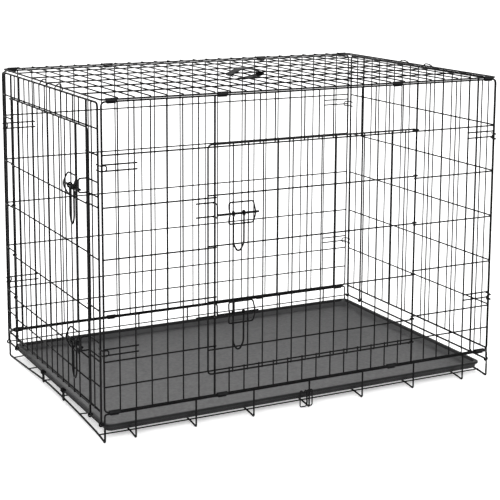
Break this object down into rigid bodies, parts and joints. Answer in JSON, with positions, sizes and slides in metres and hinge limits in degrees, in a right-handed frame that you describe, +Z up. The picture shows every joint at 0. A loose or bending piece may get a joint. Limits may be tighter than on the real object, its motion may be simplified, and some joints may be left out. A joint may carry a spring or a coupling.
{
  "type": "folding wire dog crate",
  "caption": "Black folding wire dog crate with a side door and an end door, slide latches, a grey slide-out pan and a carrying strap.",
  "frame": {"origin": "under the middle floor bar, on the surface that the crate stands on", "axes": "+X along the crate's length, away from the end door; +Y from the side door to the back; +Z up"},
  "size_m": [1.1076, 0.7398, 0.8061],
  "materials": {
    "coated_wire": "black epoxy-coated steel wire, semi-gloss",
    "clip_steel": "black-coated folded sheet steel, satin",
    "pan_plastic": "dark grey moulded plastic, fine-grained satin",
    "strap_plastic": "black moulded plastic, satin"
  },
  "bodies": {
    "floor": {"floor_grid": "coated_wire", "floor_front_fence": "coated_wire", "floor_back_fence": "coated_wire", "left_hinge_wire": "coated_wire", "right_hinge_wire": "coated_wire"},
    "pan": {"pan": "pan_plastic"},
    "front_side": {"front_panel_left": "coated_wire", "front_panel_right": "coated_wire", "front_panel_header": "coated_wire", "front_panel_sill": "coated_wire", "front_bottom_rail_clip_1": "clip_steel", "front_bottom_rail_clip_2": "clip_steel", "front_bottom_rail_clip_3": "clip_steel", "front_bottom_rail_clip_4": "clip_steel", "front_top_rail_clip_1": "clip_steel", "front_top_rail_clip_2": "clip_steel", "front_top_rail_clip_3": "clip_steel", "front_top_rail_clip_4": "clip_steel", "side_door_upper_keeper": "coated_wire", "side_door_lower_keeper": "coated_wire"},
    "back_side": {"back_panel": "coated_wire", "back_bottom_rail_clip_1": "clip_steel", "back_bottom_rail_clip_2": "clip_steel", "back_bottom_rail_clip_3": "clip_steel", "back_bottom_rail_clip_4": "clip_steel", "back_top_rail_clip_1": "clip_steel", "back_top_rail_clip_2": "clip_steel", "back_top_rail_clip_3": "clip_steel", "back_top_rail_clip_4": "clip_steel"},
    "top": {"top_panel": "coated_wire", "carry_strap": "strap_plastic"},
    "left_end": {"left_end_panel": "coated_wire", "end_door_upper_keeper": "coated_wire", "end_door_lower_keeper": "coated_wire"},
    "right_end": {"right_end_panel": "coated_wire"},
    "side_door": {"side_door_panel": "coated_wire", "side_door_upper_bracket": "coated_wire", "side_door_lower_bracket": "coated_wire"},
    "end_door": {"end_door_panel": "coated_wire", "end_door_upper_bracket": "coated_wire", "end_door_lower_bracket": "coated_wire"},
    "side_door_upper_bolt": {"side_door_upper_bolt": "coated_wire"},
    "side_door_upper_pull": {"side_door_upper_pull": "coated_wire"},
    "side_door_lower_bolt": {"side_door_lower_bolt": "coated_wire"},
    "side_door_lower_pull": {"side_door_lower_pull": "coated_wire"},
    "end_door_upper_bolt": {"end_door_upper_bolt": "coated_wire"},
    "end_door_upper_pull": {"end_door_upper_pull": "coated_wire"},
    "end_door_lower_bolt": {"end_door_lower_bolt": "coated_wire"},
    "end_door_lower_pull": {"end_door_lower_pull": "coated_wire"},
    "pan_stop_1": {"pan_stop_1": "coated_wire"},
    "pan_stop_2": {"pan_stop_2": "coated_wire"}
  },
  "joints": [
    {"name": "pan_slide", "type": "slide", "parent": "floor", "child": "pan", "axis": [1, 0, 0], "range_m": [0, 1]},
    {"name": "back_side_fold", "type": "hinge", "parent": "floor", "child": "back_side", "pos_m": [0, 0.3555, 0.0688], "axis": [1, 0, 0], "range_deg": [-60, 0]},
    {"name": "front_side_fold", "type": "hinge", "parent": "floor", "child": "front_side", "pos_m": [0, -0.3555, 0.0688], "axis": [1, 0, 0], "range_deg": [-60, 0]},
    {"name": "top_fold", "type": "hinge", "parent": "back_side", "child": "top", "pos_m": [0, 0.3555, 0.7872], "axis": [1, 0, 0], "range_deg": [0, 60]},
    {"name": "left_end_fold", "type": "hinge", "parent": "floor", "child": "left_end", "pos_m": [-0.53845, 0, 0.044], "axis": [0, -1, 0], "range_deg": [-88.6, 0]},
    {"name": "right_end_fold", "type": "hinge", "parent": "floor", "child": "right_end", "pos_m": [0.53845, 0, 0.044], "axis": [0, 1, 0], "range_deg": [-90, 0]},
    {"name": "side_door_swing", "type": "hinge", "parent": "front_side", "child": "side_door", "pos_m": [0.29625, -0.3555, 0.074], "axis": [0, 0, 1], "range_deg": [0, 125]},
    {"name": "end_door_swing", "type": "hinge", "parent": "left_end", "child": "end_door", "pos_m": [-0.53845, 0.2765, 0.074], "axis": [0, 0, -1], "range_deg": [0, 125]},
    {"name": "side_door_upper_bolt_slide", "type": "slide", "parent": "side_door", "child": "side_door_upper_bolt", "axis": [1, 0, 0], "range_m": [-0.006, 0.01]},
    {"name": "side_door_upper_pull_swing", "type": "hinge", "parent": "side_door_upper_bolt", "child": "side_door_upper_pull", "pos_m": [-0.25775, -0.3728, 0.508], "axis": [-1, 0, 0], "range_deg": [0, 100]},
    {"name": "side_door_lower_bolt_slide", "type": "slide", "parent": "side_door", "child": "side_door_lower_bolt", "axis": [1, 0, 0], "range_m": [-0.006, 0.01]},
    {"name": "side_door_lower_pull_swing", "type": "hinge", "parent": "side_door_lower_bolt", "child": "side_door_lower_pull", "pos_m": [-0.25775, -0.3728, 0.271], "axis": [-1, 0, 0], "range_deg": [0, 100]},
    {"name": "end_door_upper_bolt_slide", "type": "slide", "parent": "end_door", "child": "end_door_upper_bolt", "axis": [0, 1, 0], "range_m": [-0.006, 0.01]},
    {"name": "end_door_upper_pull_swing", "type": "hinge", "parent": "end_door_upper_bolt", "child": "end_door_upper_pull", "pos_m": [-0.55575, -0.2775, 0.576], "axis": [0, 1, 0], "range_deg": [0, 100]},
    {"name": "end_door_lower_bolt_slide", "type": "slide", "parent": "end_door", "child": "end_door_lower_bolt", "axis": [0, 1, 0], "range_m": [-0.006, 0.01]},
    {"name": "end_door_lower_pull_swing", "type": "hinge", "parent": "end_door_lower_bolt", "child": "end_door_lower_pull", "pos_m": [-0.55575, -0.2775, 0.208], "axis": [0, 1, 0], "range_deg": [0, 100]},
    {"name": "pan_stop_1_swing", "type": "hinge", "parent": "floor", "child": "pan_stop_1", "pos_m": [-0.53845, 0.059, 0.044], "axis": [0, 1, 0], "range_deg": [0, 95]},
    {"name": "pan_stop_2_swing", "type": "hinge", "parent": "floor", "child": "pan_stop_2", "pos_m": [-0.53845, -0.091, 0.044], "axis": [0, 1, 0], "range_deg": [0, 95]}
  ],
  "couplings": [
    {"joint": "front_side_fold", "follows": "back_side_fold", "ratio": 1},
    {"joint": "top_fold", "follows": "back_side_fold", "ratio": -1}
  ]
}
